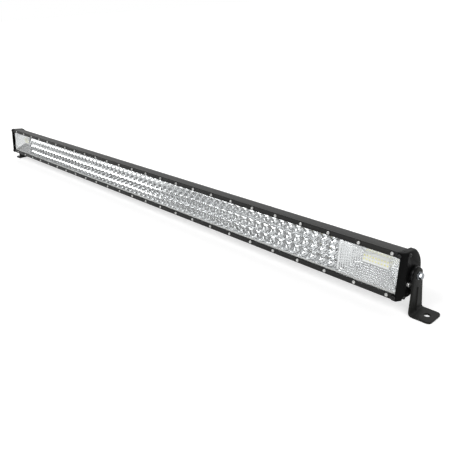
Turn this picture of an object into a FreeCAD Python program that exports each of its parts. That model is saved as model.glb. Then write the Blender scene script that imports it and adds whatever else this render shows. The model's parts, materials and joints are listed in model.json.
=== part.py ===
"""Straight three-row LED light bar for trucks and trailers.

Two frames are used. The bar frame holds every piece of the lamp: X runs along
the bar, Y runs from the front of the trim strips towards the rear, and Z is up
the lens. The foot frame holds the two brackets: its origin is the pivot axis.
In the finished part the feet lie flat on Z = 0, the pivot axis is straight
above the origin, and the lamp is tipped about it by aim_angle, nose up.
"""
import FreeCAD, Part
import math
import os
import re
import Sketcher

# ---------------------------------------------------------------- sizes
SIZES = {
    # lamp body, an aluminium extrusion
    "housing_half_length": (642.0, "middle of the bar to the end of the extrusion"),
    "housing_half_height": (34.0, "middle of the lens to the top face"),
    "cavity_floor": (26.0, "depth of the face that carries the boards"),
    "side_wall": (9.0, "wall above and below the lamp chamber"),
    "ledge_width": (2.6, "ledge round the chamber that carries the lens seal"),
    "rear_start": (2.8, "start of the rear arc in front of the chamber floor"),
    "rear_bulge": (19.9, "fin tips behind the start of the rear arc"),
    "floor_wall": (3.0, "wall between the chamber and the driver channel"),
    "channel_depth": (7.0, "driver channel, front to rear"),
    "channel_half_height": (14.0, "driver channel, half its height"),
    "channel_wall": (2.5, "wall behind the driver channel"),
    "fin_pitch": (5.4, "centre to centre of the rear fins"),
    "fin_thickness": (2.0, "rear fin"),
    "fin_root": (5.0, "fin roots behind the chamber floor, beside the channel"),
    # front
    "strip_thickness": (2.5, "trim strip"),
    "strip_overlap": (1.8, "strip over the pocket that takes the lens"),
    "lens_thickness": (3.2, "clear polycarbonate"),
    "lens_end_play": (0.9, "lens end to the end of the cap pocket"),
    "lens_side_play": (0.2, "lens edge to the pocket wall"),
    "gasket_thickness": (1.0, "seal behind the lens, pressed"),
    "screw_count": (25.0, "screws in each strip"),
    "screw_margin": (36.0, "length of the bar without strip screws, both ends together"),
    "screw_offset": (10.0, "middle screw to the middle of the bar"),
    "screw_edge": (4.3, "front screws to the edge of the housing"),
    "screw_radius": (1.5, "small screw shank"),
    "screw_length": (9.0, "small screw shank below its head"),
    "screw_head_radius": (2.6, "small button head"),
    "screw_head_height": (1.8, "small button head"),
    "screw_play": (0.1, "small screw to its hole, on the radius"),
    # ends
    "end_gasket_thickness": (1.0, "seal between extrusion and end cap"),
    "cap_thickness": (10.0, "end cap along the bar"),
    "cap_pocket": (3.3, "hollow in the inner side of the end cap"),
    "cap_overhang": (0.5, "end cap over the top and bottom of the extrusion"),
    "cap_arc_start": (4.0, "start of the cap's rear arc behind the chamber floor"),
    "cap_bulge": (20.5, "rear of the cap behind the start of its arc"),
    "cap_edge_radius": (4.0, "rounded outer edge of the end cap"),
    "bezel_depth": (8.0, "depth of the joint between end bezel and end cap"),
    "bezel_proud": (1.5, "end bezel in front of the strips"),
    "bezel_chamfer": (4.0, "slope of the bezel's outer corner, along the bar"),
    "bezel_screw_inset": (7.5, "bezel screw from the outer face"),
    "bezel_screw_bite": (1.6, "bezel screw in the end cap"),
    "cap_screw_depth": (3.4, "front cap screws behind the bezel joint"),
    "cap_screw_edge": (4.1, "front cap screws to the edge of the cap"),
    "cap_rear_screw_depth": (2.6, "rear cap screw behind the chamber floor"),
    "cap_rear_screw_edge": (7.2, "rear cap screw to the lower edge of the cap"),
    "cap_screw_bite": (12.0, "cap screw in the extrusion"),
    "vent_depth": (17.0, "breather behind the strip front"),
    "vent_height": (12.5, "breather below the middle"),
    "vent_radius": (3.2, "breather head"),
    "vent_stem_radius": (2.4, "breather stem"),
    "vent_head_height": (3.2, "breather head"),
    # optics and electronics
    "cup_wall": (1.2, "ridge between two cups at their mouths"),
    "cup_floor": (4.1, "reflector floor, over the light sources"),
    "cup_taper": (18.0, "slope of the cup walls, degrees"),
    "cup_hole_radius": (2.9, "opening round the light source"),
    "columns_per_module": (21.0, "cup columns in one reflector module"),
    "module_gap": (0.4, "gap between reflector modules"),
    "reflector_play": (0.2, "reflector and boards to the chamber walls"),
    "reflector_gap": (0.6, "reflector's front face behind the lens"),
    "reflector_end_play": (2.4, "end of the reflectors to the end of the lens"),
    "flood_length": (97.0, "flood section along the bar"),
    "flood_wall": (2.5, "rim of the flood tray"),
    "flood_window_half": (6.0, "half the height of the flood light window"),
    "flood_window_inset": (20.0, "end of the flood light window to the tray end"),
    "flood_taper": (15.0, "slope of the flood tray walls, degrees"),
    "flood_led_pitch": (4.75, "centre to centre of the flood light sources"),
    "flood_led_row": (2.7, "flood rows above and below their own middle"),
    "flood_led_middle": (2.5, "middle of the flood rows above the middle of the bar"),
    "flood_led_place": (52.0, "middle of the flood light sources to the spot section"),
    "flood_led_count": (9.0, "flood light sources in a row"),
    "board_thickness": (1.6, "metal core circuit board"),
    "led_size": (3.2, "square light source"),
    "led_height": (0.8, "light source above its board"),
    "driver_end": (60.0, "end of the driver board to the end of the extrusion"),
    "driver_gap": (1.0, "driver board behind the channel's front wall"),
    "choke_size": (9.0, "square driver component"),
    "choke_height": (3.4, "driver component above its board"),
    "choke_count": (12.0, "driver components"),
    "header_radius": (1.6, "plug between boards"),
    "header_play": (0.5, "plug to its hole, on the radius"),
    # cable entry
    "gland_seat_radius": (10.5, "flat milled in the fins round the gland"),
    "gland_flange_radius": (9.5, "gland body flange"),
    "gland_flange": (3.0, "gland body flange thickness"),
    "gland_stem_radius": (6.0, "threaded stem of the gland"),
    "gland_nut_radius": (8.0, "clamping nut"),
    "gland_nut_length": (9.0, "clamping nut"),
    "cable_radius": (3.5, "opening for the supply cable"),
    # pivots and brackets
    "pivot_depth": (3.0, "pivot axis behind the chamber floor"),
    "pivot_height": (58.0, "pivot axis above the mounting face"),
    "aim_angle": (8.0, "lamp tipped nose up, degrees"),
    "spacer_length": (5.0, "round spacer between end cap and bracket"),
    "spacer_radius": (12.0, "round spacer"),
    "bolt_radius": (2.5, "pivot bolt shank"),
    "bolt_bite": (9.5, "pivot bolt in the end cap"),
    "bolt_head_height": (3.6, "hexagon head"),
    "bolt_head_flats": (8.0, "hexagon head across its flats"),
    "bolt_play": (0.08, "pivot bolt to the bracket hole, on the radius"),
    "flat_washer_radius": (5.6, "flat washer"),
    "flat_washer_thickness": (1.1, "flat washer"),
    "spring_washer_radius": (4.8, "spring washer"),
    "spring_washer_thickness": (1.3, "spring washer"),
    "plate_thickness": (3.0, "bracket steel"),
    "bracket_top_radius": (10.5, "rounded top of the bracket"),
    "foot_width": (32.5, "foot, front to rear"),
    "foot_length": (32.0, "foot along the bar, with the upright"),
    "foot_corner": (6.0, "rounded corners of the foot"),
    "foot_hole_radius": (4.3, "mounting hole"),
    "foot_hole_inset": (12.5, "mounting hole from the end of the foot"),
    "bend_radius": (3.0, "inside of the bend"),
    "rib_width": (2.4, "stiffening bead on the upright"),
    "rib_height": (1.2, "stiffening bead above the plate"),
    "rib_top": (18.0, "top of the bead below the pivot"),
}

doc = FreeCAD.newDocument("LightBar")
sheet = doc.addObject("Spreadsheet::Sheet", "Sizes")
for row, (name, (number, note)) in enumerate(SIZES.items(), start=1):
    sheet.set(f"A{row}", name)
    sheet.set(f"B{row}", str(number))
    sheet.setAlias(f"B{row}", name)
    sheet.set(f"C{row}", note)
doc.recompute()

ALIAS = re.compile(r"\b(" + "|".join(sorted(SIZES, key=len, reverse=True)) + r")\b")

# Depths and lengths that several pieces share, as expressions on the sizes.
LEDGE = "(strip_thickness + lens_thickness + gasket_thickness)"
CAP_INNER = "(housing_half_length + end_gasket_thickness)"
CAP_OUTER = "(housing_half_length + end_gasket_thickness + cap_thickness)"
POCKET_END = "(housing_half_length + end_gasket_thickness + cap_pocket)"
CAVITY_HALF = "(housing_half_height - side_wall)"
REBATE_HALF = "(housing_half_height - side_wall + ledge_width)"
STRIP_EDGE = f"({REBATE_HALF} - strip_overlap)"
SCREW_ROW = "(housing_half_height - screw_edge)"
SCREW_PITCH = "((2 * housing_half_length - screw_margin) / (screw_count - 1))"
CAP_HALF = "(housing_half_height + cap_overhang)"
LENS_END = f"({POCKET_END} - lens_end_play)"
REFLECTOR_HALF = f"({CAVITY_HALF} - reflector_play)"
REFLECTOR_FRONT = "(strip_thickness + lens_thickness + reflector_gap)"
BOARD_FRONT = "(cavity_floor - board_thickness)"
CUP_FLOOR = f"({BOARD_FRONT} - cup_floor)"
SPOT_HALF = f"({LENS_END} - reflector_end_play - flood_length)"
MODULE_LENGTH = f"(2 * {SPOT_HALF} / 3)"
CUP_PITCH = f"({MODULE_LENGTH} / columns_per_module)"
CUP_ROW_PITCH = f"(2 * {REFLECTOR_HALF} / 3)"
REAR_FLAT_END = "(cavity_floor - rear_start)"
REAR_EDGE = f"({REAR_FLAT_END} + rear_bulge + 1)"
CHANNEL_FRONT = "(cavity_floor + floor_wall)"
CHANNEL_REAR = "(cavity_floor + floor_wall + channel_depth)"
CHANNEL_BACK = f"({CHANNEL_REAR} + channel_wall)"
DRIVER_FRONT = f"({CHANNEL_FRONT} + driver_gap)"
DRIVER_HALF = "(housing_half_length - driver_end)"
PIVOT_DEPTH = "(cavity_floor + pivot_depth)"
UPRIGHT_INNER = f"({CAP_OUTER} + spacer_length)"
UPRIGHT_OUTER = f"({CAP_OUTER} + spacer_length + plate_thickness)"


def bound(expression):
    """The expression with every size name pointed at its cell of the sheet."""
    return ALIAS.sub(r"Sizes.\1", str(expression))


def value(expression):
    """The number that an expression on the sizes gives now."""
    return float(sheet.evalExpression(bound(expression)))


def arc_radius(half_height, bulge):
    """Radius of the arc over a chord of twice half_height that bulges by bulge."""
    return f"(({half_height} * {half_height} + {bulge} * {bulge}) / (2 * {bulge}))"


# ---------------------------------------------------------------- builders
def new_body(label):
    body = doc.addObject("PartDesign::Body", label)
    body.Label = label
    body.AllowCompound = True
    return body


def origin_feature(body, role):
    return next(item for item in body.Origin.OriginFeatures if item.Role == role)


def convex_arc(start, end, radius):
    """Arc that runs counter-clockwise from start to end with the given radius."""
    chord = end - start
    middle = (start + end) * 0.5
    rise = math.sqrt(max(radius**2 - (chord.Length / 2) ** 2, 0.0))
    inward = FreeCAD.Vector(-chord.y, chord.x, 0).normalize()
    centre = middle + inward * rise
    first = math.atan2(start.y - centre.y, start.x - centre.x)
    last = math.atan2(end.y - centre.y, end.x - centre.x)
    circle = Part.Circle(centre, FreeCAD.Vector(0, 0, 1), radius)
    return Part.ArcOfCircle(circle, first, last)


def draw_outline(sketch, points, arcs):
    """Closed outline, its corners counter-clockwise and each bound to the sheet."""
    places = [FreeCAD.Vector(value(x), value(y), 0) for x, y in points]
    count = len(places)
    first = sketch.GeometryCount
    for index in range(count):
        start = places[index]
        end = places[(index + 1) % count]
        if index in arcs:
            sketch.addGeometry(convex_arc(start, end, value(arcs[index])), False)
        else:
            sketch.addGeometry(Part.LineSegment(start, end), False)
    constraints = []
    expressions = []
    for index in range(count):
        this_edge = first + index
        next_edge = first + (index + 1) % count
        constraints.append(Sketcher.Constraint("Coincident", this_edge, 2, next_edge, 1))
        expressions.append(None)
        for axis, kind in enumerate(("DistanceX", "DistanceY")):
            place = places[index][axis]
            constraints.append(Sketcher.Constraint(kind, -1, 1, this_edge, 1, place))
            expressions.append(points[index][axis])
    for index, radius in arcs.items():
        constraints.append(Sketcher.Constraint("Radius", first + index, value(radius)))
        expressions.append(radius)
    bind(sketch, constraints, expressions)


def draw_circle(sketch, x, y, radius):
    centre = FreeCAD.Vector(value(x), value(y), 0)
    circle = Part.Circle(centre, FreeCAD.Vector(0, 0, 1), value(radius))
    edge = sketch.addGeometry(circle, False)
    constraints = [
        Sketcher.Constraint("DistanceX", -1, 1, edge, 3, centre.x),
        Sketcher.Constraint("DistanceY", -1, 1, edge, 3, centre.y),
        Sketcher.Constraint("Radius", edge, value(radius)),
    ]
    bind(sketch, constraints, [x, y, radius])


def bind(sketch, constraints, expressions):
    first = sketch.ConstraintCount
    sketch.addConstraint(constraints)
    for index, expression in enumerate(expressions):
        if expression is not None:
            sketch.setExpression(f"Constraints[{first + index}]", bound(expression))


def prism(body, role, low, high, outlines=(), circles=(), arcs=None, cut=False, taper=None):
    """Pad, or pocket when cut is set, between two places along the plane's normal.

    YZ outlines are (depth, height) and run along the bar, XY outlines run up,
    and XZ outlines run from front to rear.
    """
    runs_backwards = role == "XZ_Plane"
    start = high if cut != runs_backwards else low
    kind = "Pocket" if cut else "Pad"
    sketch = body.newObject("Sketcher::SketchObject", f"{body.Name}_sketch")
    sketch.AttachmentSupport = [(origin_feature(body, role), "")]
    sketch.MapMode = "FlatFace"
    offset = f"-({start})" if runs_backwards else start
    sketch.setExpression("AttachmentOffset.Base.z", bound(offset))
    for outline in outlines:
        draw_outline(sketch, outline, arcs or {})
    for circle in circles:
        draw_circle(sketch, *circle)
    feature = body.newObject(f"PartDesign::{kind}", f"{body.Name}_{kind.lower()}")
    feature.Profile = sketch
    feature.setExpression("Length", bound(f"({high}) - ({low})"))
    if taper is not None:
        feature.setExpression("TaperAngle", bound(taper))
    body.Tip = feature
    return feature


def rectangle(x_low, x_high, y_low, y_high):
    return [(x_low, y_low), (x_high, y_low), (x_high, y_high), (x_low, y_high)]


def repeat_along_x(body, features, pitch, count):
    """Copy features along the bar, count times, each pitch from the last."""
    doc.recompute()
    pattern = body.newObject("PartDesign::LinearPattern", f"{body.Name}_row")
    pattern.Originals = features
    pattern.Direction = (origin_feature(body, "X_Axis"), [""])
    pattern.setExpression("Length", bound(f"({pitch}) * (({count}) - 1)"))
    pattern.setExpression("Occurrences", bound(count))
    body.Tip = pattern
    return pattern


def round_edges(body, radius, chosen):
    """Fillet the edges of the body's tip for which chosen(edge) is true."""
    doc.recompute()
    base = body.Tip
    names = [f"Edge{n}" for n, edge in enumerate(base.Shape.Edges, 1) if chosen(edge)]
    fillet = body.newObject("PartDesign::Fillet", f"{body.Name}_fillet")
    fillet.Base = (base, names)
    fillet.setExpression("Radius", bound(radius))
    body.Tip = fillet


def place_on_bar(body):
    """Tip a piece of the lamp about the pivot axis and lift it over the feet."""
    body.Placement = FreeCAD.Placement(
        FreeCAD.Vector(0, 0, 0), FreeCAD.Rotation(FreeCAD.Vector(-1, 0, 0), value("aim_angle"))
    )
    body.setExpression("Placement.Rotation.Angle", bound("aim_angle"))
    body.setExpression("Placement.Base.y", bound(f"-{PIVOT_DEPTH} * cos(aim_angle)"))
    body.setExpression(
        "Placement.Base.z", bound(f"pivot_height + {PIVOT_DEPTH} * sin(aim_angle)")
    )
    return body


def place_on_foot(body):
    body.setExpression("Placement.Base.z", bound("pivot_height"))
    return body


def towards(side, inner, outer):
    """Range along the bar for the right end (side 1) or the left end (side -1)."""
    if side > 0:
        return inner, outer
    return f"-({outer})", f"-({inner})"


def along(side, place):
    return place if side > 0 else f"-({place})"


# ---------------------------------------------------------------- extrusion
def housing_outline():
    """Section of the extrusion: chamber open to the front, arc at the rear."""
    top = "housing_half_height"
    corners = [
        ("strip_thickness", f"-{top}"),
        (REAR_FLAT_END, f"-{top}"),
        (REAR_FLAT_END, top),
        ("strip_thickness", top),
        ("strip_thickness", REBATE_HALF),
        (LEDGE, REBATE_HALF),
        (LEDGE, CAVITY_HALF),
        ("cavity_floor", CAVITY_HALF),
        ("cavity_floor", f"-{CAVITY_HALF}"),
        (LEDGE, f"-{CAVITY_HALF}"),
        (LEDGE, f"-{REBATE_HALF}"),
        ("strip_thickness", f"-{REBATE_HALF}"),
    ]
    return corners, {1: arc_radius(top, "rear_bulge")}


def strip_screw_holes(radius, row):
    first = f"screw_offset - {SCREW_PITCH} * (screw_count - 1) / 2"
    return (first, row, radius)


def make_housing():
    body = new_body("housing")
    low, high = "-housing_half_length", "housing_half_length"
    outline, arcs = housing_outline()
    prism(body, "YZ_Plane", low, high, [outline], arcs=arcs)
    channel = rectangle(
        CHANNEL_FRONT, CHANNEL_REAR, "-channel_half_height", "channel_half_height"
    )
    prism(body, "YZ_Plane", low, high, [channel], cut=True)
    gaps = []
    for step in range(5):
        over_channel = value(f"{step} * fin_pitch") < value("channel_half_height")
        root = CHANNEL_BACK if over_channel else "(cavity_floor + fin_root)"
        middle = f"{step + 0.5} * fin_pitch"
        half = "(fin_pitch - fin_thickness) / 2"
        for sign in ("", "-"):
            centre = f"{sign}({middle})"
            gaps.append(rectangle(root, REAR_EDGE, f"{centre} - {half}", f"{centre} + {half}"))
    prism(body, "YZ_Plane", low, high, gaps, cut=True)
    rows = (SCREW_ROW, f"-{SCREW_ROW}")
    holes = [strip_screw_holes("screw_radius + screw_play", row) for row in rows]
    depth = "strip_thickness + screw_length"
    tapped = prism(body, "XZ_Plane", "strip_thickness", depth, circles=holes, cut=True)
    repeat_along_x(body, [tapped], SCREW_PITCH, "screw_count")
    bite = "housing_half_length - cap_screw_bite"
    holes = cap_screw_places("screw_radius + screw_play")
    for side in (-1, 1):
        start, end = towards(side, bite, "housing_half_length")
        prism(body, "YZ_Plane", start, end, circles=holes, cut=True)
    seat = [("0", "0", "gland_seat_radius")]
    prism(body, "XZ_Plane", CHANNEL_BACK, REAR_EDGE, circles=seat, cut=True)
    stem = [("0", "0", "gland_stem_radius + screw_play")]
    prism(body, "XZ_Plane", CHANNEL_REAR, CHANNEL_BACK, circles=stem, cut=True)
    plugs = [(place, "0", "header_radius + header_play") for place in board_middles()]
    prism(body, "XZ_Plane", "cavity_floor", CHANNEL_FRONT, circles=plugs, cut=True)
    return place_on_bar(body)


def cap_screw_places(radius):
    front = "bezel_depth + cap_screw_depth"
    height = f"({CAP_HALF} - cap_screw_edge)"
    return [
        (front, height, radius),
        (front, f"-{height}", radius),
        ("cavity_floor + cap_rear_screw_depth", f"cap_rear_screw_edge - {CAP_HALF}", radius),
    ]


def board_middles():
    """Middle of each light board along the bar: flood, three spot, flood."""
    flood = f"({SPOT_HALF} + flood_length / 2)"
    return [f"-{flood}", f"-{MODULE_LENGTH}", "0", MODULE_LENGTH, flood]


# ---------------------------------------------------------------- front
def make_strip(label, sign):
    body = new_body(label)
    low, high = "-housing_half_length", "housing_half_length"
    edges = (STRIP_EDGE, "housing_half_height")
    if sign < 0:
        edges = ("-housing_half_height", f"-{STRIP_EDGE}")
    prism(body, "XZ_Plane", "0", "strip_thickness", [rectangle(low, high, *edges)])
    row = SCREW_ROW if sign > 0 else f"-{SCREW_ROW}"
    hole = strip_screw_holes("screw_radius + screw_play", row)
    pocket = prism(body, "XZ_Plane", "0", "strip_thickness", circles=[hole], cut=True)
    repeat_along_x(body, [pocket], SCREW_PITCH, "screw_count")
    return place_on_bar(body)


def make_strip_screws(label, sign):
    body = new_body(label)
    row = SCREW_ROW if sign > 0 else f"-{SCREW_ROW}"
    head = strip_screw_holes("screw_head_radius", row)
    shank = strip_screw_holes("screw_radius", row)
    parts = [
        prism(body, "XZ_Plane", "-screw_head_height", "0", circles=[head]),
        prism(body, "XZ_Plane", "0", "screw_length", circles=[shank]),
    ]
    repeat_along_x(body, parts, SCREW_PITCH, "screw_count")
    return place_on_bar(body)


def lens_rectangle(inset):
    half_height = f"({REBATE_HALF} - lens_side_play - {inset})"
    half_length = f"({LENS_END} - {inset})"
    return rectangle(f"-{half_length}", half_length, f"-{half_height}", half_height)


def make_lens():
    body = new_body("lens")
    back = "strip_thickness + lens_thickness"
    prism(body, "XZ_Plane", "strip_thickness", back, [lens_rectangle("0")])
    return place_on_bar(body)


def make_lens_gasket():
    body = new_body("lens_gasket")
    front = "strip_thickness + lens_thickness"
    width = "(ledge_width - lens_side_play)"
    prism(body, "XZ_Plane", front, LEDGE, [lens_rectangle("0")])
    prism(body, "XZ_Plane", front, LEDGE, [lens_rectangle(width)], cut=True)
    return place_on_bar(body)


# ---------------------------------------------------------------- ends
def make_end_gasket(label, side):
    body = new_body(label)
    low, high = towards(side, "housing_half_length", CAP_INNER)
    outline, arcs = housing_outline()
    prism(body, "YZ_Plane", low, high, [outline], arcs=arcs)
    over_bezel = rectangle(
        "strip_thickness", "bezel_depth", "-housing_half_height", "housing_half_height"
    )
    prism(body, "YZ_Plane", low, high, [over_bezel], cut=True)
    holes = cap_screw_places("screw_radius + screw_play")
    prism(body, "YZ_Plane", low, high, circles=holes, cut=True)
    return place_on_bar(body)


def make_end_cap(label, side):
    body = new_body(label)
    low, high = towards(side, CAP_INNER, CAP_OUTER)
    flat_end = "cavity_floor + cap_arc_start"
    outline = [
        ("bezel_depth", f"-{CAP_HALF}"),
        (flat_end, f"-{CAP_HALF}"),
        (flat_end, CAP_HALF),
        ("bezel_depth", CAP_HALF),
    ]
    prism(body, "YZ_Plane", low, high, [outline], arcs={1: arc_radius(CAP_HALF, "cap_bulge")})
    outer = value(along(side, CAP_OUTER))
    front = value("bezel_depth")
    round_edges(
        body,
        "cap_edge_radius",
        lambda edge: all(abs(v.X - outer) < 0.01 for v in edge.Vertexes)
        and edge.BoundBox.YMax > front + 0.1,
    )
    pocket_low, pocket_high = towards(side, CAP_INNER, POCKET_END)
    hollow = rectangle("bezel_depth", "cavity_floor", f"-{REBATE_HALF}", REBATE_HALF)
    prism(body, "YZ_Plane", pocket_low, pocket_high, [hollow], cut=True)
    holes = cap_screw_places("screw_radius + screw_play")
    prism(body, "YZ_Plane", low, high, circles=holes, cut=True)
    bolt_low, bolt_high = towards(side, f"{CAP_OUTER} - bolt_bite", CAP_OUTER)
    bolt = (PIVOT_DEPTH, "0", "bolt_radius + screw_play")
    prism(body, "YZ_Plane", bolt_low, bolt_high, circles=[bolt], cut=True)
    if side > 0:
        vent = ("vent_depth", "-vent_height", "vent_stem_radius + screw_play")
        prism(body, "YZ_Plane", POCKET_END, CAP_OUTER, circles=[vent], cut=True)
    screws = bezel_screw_circles(side, "screw_radius + screw_play")
    prism(body, "XZ_Plane", "bezel_depth", bezel_screw_end(), circles=screws, cut=True)
    return place_on_bar(body)


def bezel_screw_end():
    return "bezel_depth + bezel_screw_bite"


def bezel_screw_circles(side, radius):
    place = along(side, f"{CAP_OUTER} - bezel_screw_inset")
    return [(place, SCREW_ROW, radius), (place, f"-{SCREW_ROW}", radius)]


def make_end_bezel(label, side):
    """Black end piece that closes the front over the end of the lens."""
    body = new_body(label)
    inner = along(side, "housing_half_length")
    slope = along(side, f"{CAP_OUTER} - bezel_chamfer")
    outer = along(side, CAP_OUTER)
    outline = [
        (inner, "-bezel_proud"),
        (slope, "-bezel_proud"),
        (outer, "bezel_depth"),
        (inner, "bezel_depth"),
    ]
    prism(body, "XY_Plane", f"-{CAP_HALF}", CAP_HALF, [outline])
    low, high = towards(side, "housing_half_length", POCKET_END)
    window = rectangle(low, high, f"-{STRIP_EDGE}", STRIP_EDGE)
    prism(body, "XZ_Plane", "-bezel_proud", "bezel_depth", [window], cut=True)
    pocket = rectangle(low, high, f"-{REBATE_HALF}", REBATE_HALF)
    prism(body, "XZ_Plane", "strip_thickness", "bezel_depth", [pocket], cut=True)
    screws = bezel_screw_circles(side, "screw_radius + screw_play")
    prism(body, "XZ_Plane", "-bezel_proud", "bezel_depth", circles=screws, cut=True)
    return place_on_bar(body)


def make_bezel_screws(label, side):
    body = new_body(label)
    head_low = "-(bezel_proud + screw_head_height)"
    heads = bezel_screw_circles(side, "screw_head_radius")
    shanks = bezel_screw_circles(side, "screw_radius")
    prism(body, "XZ_Plane", head_low, "-bezel_proud", circles=heads)
    prism(body, "XZ_Plane", "-bezel_proud", bezel_screw_end(), circles=shanks)
    return place_on_bar(body)


def make_cap_screws(label, side):
    body = new_body(label)
    head_low, head_high = towards(side, CAP_OUTER, f"{CAP_OUTER} + screw_head_height")
    prism(body, "YZ_Plane", head_low, head_high, circles=cap_screw_places("screw_head_radius"))
    tip = "housing_half_length - cap_screw_bite"
    low, high = towards(side, tip, CAP_OUTER)
    prism(body, "YZ_Plane", low, high, circles=cap_screw_places("screw_radius"))
    return place_on_bar(body)


def make_breather_vent():
    body = new_body("breather_vent")
    head = ("vent_depth", "-vent_height", "vent_radius")
    stem = ("vent_depth", "-vent_height", "vent_stem_radius")
    prism(body, "YZ_Plane", CAP_OUTER, f"{CAP_OUTER} + vent_head_height", circles=[head])
    prism(body, "YZ_Plane", POCKET_END, CAP_OUTER, circles=[stem])
    return place_on_bar(body)


# ---------------------------------------------------------------- optics
def make_spot_reflector(label, middle):
    """Reflector module with three rows of square cups."""
    body = new_body(label)
    half = f"({MODULE_LENGTH} / 2 - module_gap / 2)"
    block = rectangle(
        f"{middle} - {half}", f"{middle} + {half}", f"-{REFLECTOR_HALF}", REFLECTOR_HALF
    )
    prism(body, "XZ_Plane", REFLECTOR_FRONT, BOARD_FRONT, [block])
    first = f"({middle} - {CUP_PITCH} * (columns_per_module - 1) / 2)"
    half_width = f"({CUP_PITCH} - cup_wall) / 2"
    half_height = f"({CUP_ROW_PITCH} - cup_wall) / 2"
    cups = []
    holes = []
    for row in (-1, 0, 1):
        height = f"{row} * {CUP_ROW_PITCH}"
        cups.append(
            rectangle(
                f"{first} - {half_width}", f"{first} + {half_width}",
                f"{height} - {half_height}", f"{height} + {half_height}",
            )
        )
        holes.append((first, height, "cup_hole_radius"))
    cup = prism(body, "XZ_Plane", REFLECTOR_FRONT, CUP_FLOOR, cups, cut=True, taper="-cup_taper")
    hole = prism(body, "XZ_Plane", CUP_FLOOR, BOARD_FRONT, circles=holes, cut=True)
    repeat_along_x(body, [cup, hole], CUP_PITCH, "columns_per_module")
    return place_on_bar(body)


def make_flood_reflector(label, side):
    """Wide tray that spreads the light of the outer boards."""
    body = new_body(label)
    low, high = towards(side, f"{SPOT_HALF} + module_gap / 2", f"{SPOT_HALF} + flood_length")
    block = rectangle(low, high, f"-{REFLECTOR_HALF}", REFLECTOR_HALF)
    prism(body, "XZ_Plane", REFLECTOR_FRONT, BOARD_FRONT, [block])
    mouth = rectangle(
        f"{low} + flood_wall", f"{high} - flood_wall",
        f"-({REFLECTOR_HALF} - flood_wall)", f"{REFLECTOR_HALF} - flood_wall",
    )
    prism(body, "XZ_Plane", REFLECTOR_FRONT, CUP_FLOOR, [mouth], cut=True, taper="-flood_taper")
    window = rectangle(
        f"{low} + flood_window_inset", f"{high} - flood_window_inset",
        "flood_led_middle - flood_window_half", "flood_led_middle + flood_window_half",
    )
    prism(body, "XZ_Plane", CUP_FLOOR, BOARD_FRONT, [window], cut=True)
    return place_on_bar(body)


def make_board(label, middle, half_length):
    body = new_body(label)
    outline = rectangle(
        f"{middle} - {half_length}", f"{middle} + {half_length}",
        f"-{REFLECTOR_HALF}", REFLECTOR_HALF,
    )
    prism(body, "XZ_Plane", BOARD_FRONT, "cavity_floor", [outline])
    return place_on_bar(body)


def led_squares(middle, heights):
    half = "led_size / 2"
    return [
        rectangle(f"{middle} - {half}", f"{middle} + {half}", f"{row} - {half}", f"{row} + {half}")
        for row in heights
    ]


def make_leds(label, first, heights, pitch, count):
    body = new_body(label)
    front = f"{BOARD_FRONT} - led_height"
    squares = led_squares(first, heights)
    chips = prism(body, "XZ_Plane", front, BOARD_FRONT, squares)
    repeat_along_x(body, [chips], pitch, count)
    return place_on_bar(body)


# ---------------------------------------------------------------- electronics
def make_driver_board():
    body = new_body("driver_board")
    outline = rectangle(
        f"-{DRIVER_HALF}", DRIVER_HALF, "-channel_half_height", "channel_half_height"
    )
    prism(body, "XZ_Plane", DRIVER_FRONT, f"{DRIVER_FRONT} + board_thickness", [outline])
    return place_on_bar(body)


def make_driver_parts():
    body = new_body("driver_chokes")
    pitch = f"(2 * {DRIVER_HALF} / choke_count)"
    first = f"(-{pitch} * (choke_count - 1) / 2)"
    half = "choke_size / 2"
    front = f"{DRIVER_FRONT} + board_thickness"
    square = rectangle(f"{first} - {half}", f"{first} + {half}", f"-{half}", half)
    chokes = prism(body, "XZ_Plane", front, f"{front} + choke_height", [square])
    repeat_along_x(body, [chokes], pitch, "choke_count")
    return place_on_bar(body)


def make_board_plugs():
    body = new_body("board_plugs")
    plugs = [(place, "0", "header_radius") for place in board_middles()]
    prism(body, "XZ_Plane", "cavity_floor", DRIVER_FRONT, circles=plugs)
    return place_on_bar(body)


def make_gland():
    """Cable entry: body screwed into the rear wall, clamping nut and rubber seal."""
    flange_back = f"{CHANNEL_BACK} + gland_flange"
    nut_back = f"{CHANNEL_BACK} + gland_flange + gland_nut_length"
    body = new_body("cable_gland_body")
    flange = ("0", "0", "gland_flange_radius")
    stem = ("0", "0", "gland_stem_radius")
    opening = ("0", "0", "cable_radius")
    prism(body, "XZ_Plane", CHANNEL_BACK, flange_back, circles=[flange])
    prism(body, "XZ_Plane", CHANNEL_REAR, CHANNEL_BACK, circles=[stem])
    prism(body, "XZ_Plane", CHANNEL_REAR, flange_back, circles=[opening], cut=True)
    place_on_bar(body)
    nut = new_body("cable_gland_nut")
    prism(nut, "XZ_Plane", flange_back, nut_back, circles=[("0", "0", "gland_nut_radius")])
    seal_radius = "(gland_nut_radius + cable_radius) / 2"
    prism(nut, "XZ_Plane", flange_back, nut_back, circles=[("0", "0", seal_radius)], cut=True)
    place_on_bar(nut)
    seal = new_body("cable_gland_seal")
    prism(seal, "XZ_Plane", flange_back, nut_back, circles=[("0", "0", seal_radius)])
    prism(seal, "XZ_Plane", flange_back, nut_back, circles=[opening], cut=True)
    place_on_bar(seal)
    return [body, nut, seal]


# ---------------------------------------------------------------- pivots
def ring(label, side, inner, outer, radius, hole):
    body = new_body(label)
    low, high = towards(side, inner, outer)
    prism(body, "YZ_Plane", low, high, circles=[(PIVOT_DEPTH, "0", radius)])
    prism(body, "YZ_Plane", low, high, circles=[(PIVOT_DEPTH, "0", hole)], cut=True)
    return place_on_bar(body)


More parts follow.
